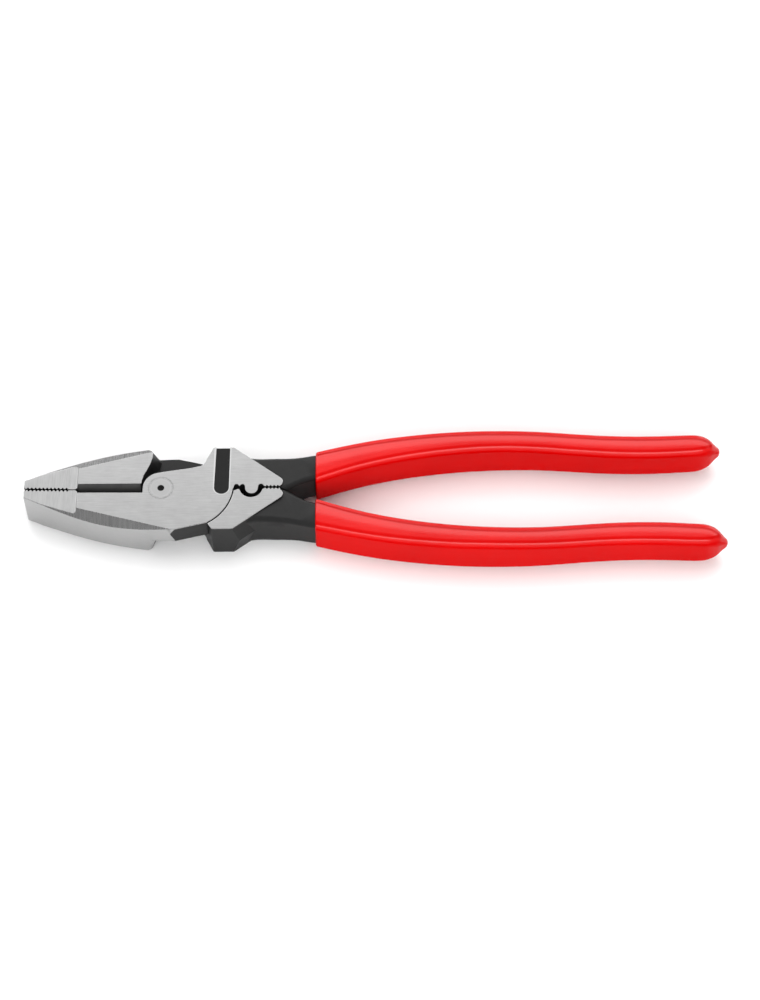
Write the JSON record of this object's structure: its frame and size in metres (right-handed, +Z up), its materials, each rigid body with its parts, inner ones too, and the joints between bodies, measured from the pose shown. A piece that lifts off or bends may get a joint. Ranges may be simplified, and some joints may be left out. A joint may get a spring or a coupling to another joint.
{
  "type": "lineman pliers",
  "caption": "Lineman pliers: two crossed forged levers on a flush rivet, with gripping nose, side knives, crimping die behind the pivot and dipped plastic grips.",
  "frame": {"origin": "on the pivot axis, at the underside of the head (the face the tool lies on)", "axes": "+X from the pivot towards the handles, +Z up along the pivot axis, the upper handle on the +Y side"},
  "size_m": [0.24, 0.0472, 0.016],
  "materials": {
    "forged_steel": "head faces and jaw sides ground bright with fine parallel lines; lap, knives' vee, badge field and necks left black",
    "rivet_steel": "ground flush with the head",
    "red_plastic": "smooth glossy dipped plastic"
  },
  "bodies": {
    "upper_jaw_body": {"upper_jaw_lever": "forged_steel", "pivot_rivet": "rivet_steel", "lower_handle_grip": "red_plastic"},
    "lower_jaw_body": {"lower_jaw_lever": "forged_steel", "upper_handle_grip": "red_plastic"}
  },
  "joints": [
    {"name": "jaw_pivot", "type": "hinge", "parent": "upper_jaw_body", "child": "lower_jaw_body", "pos_m": [0, 0, 0.008], "axis": [0, 0, 1], "range_deg": [0, 50]}
  ]
}
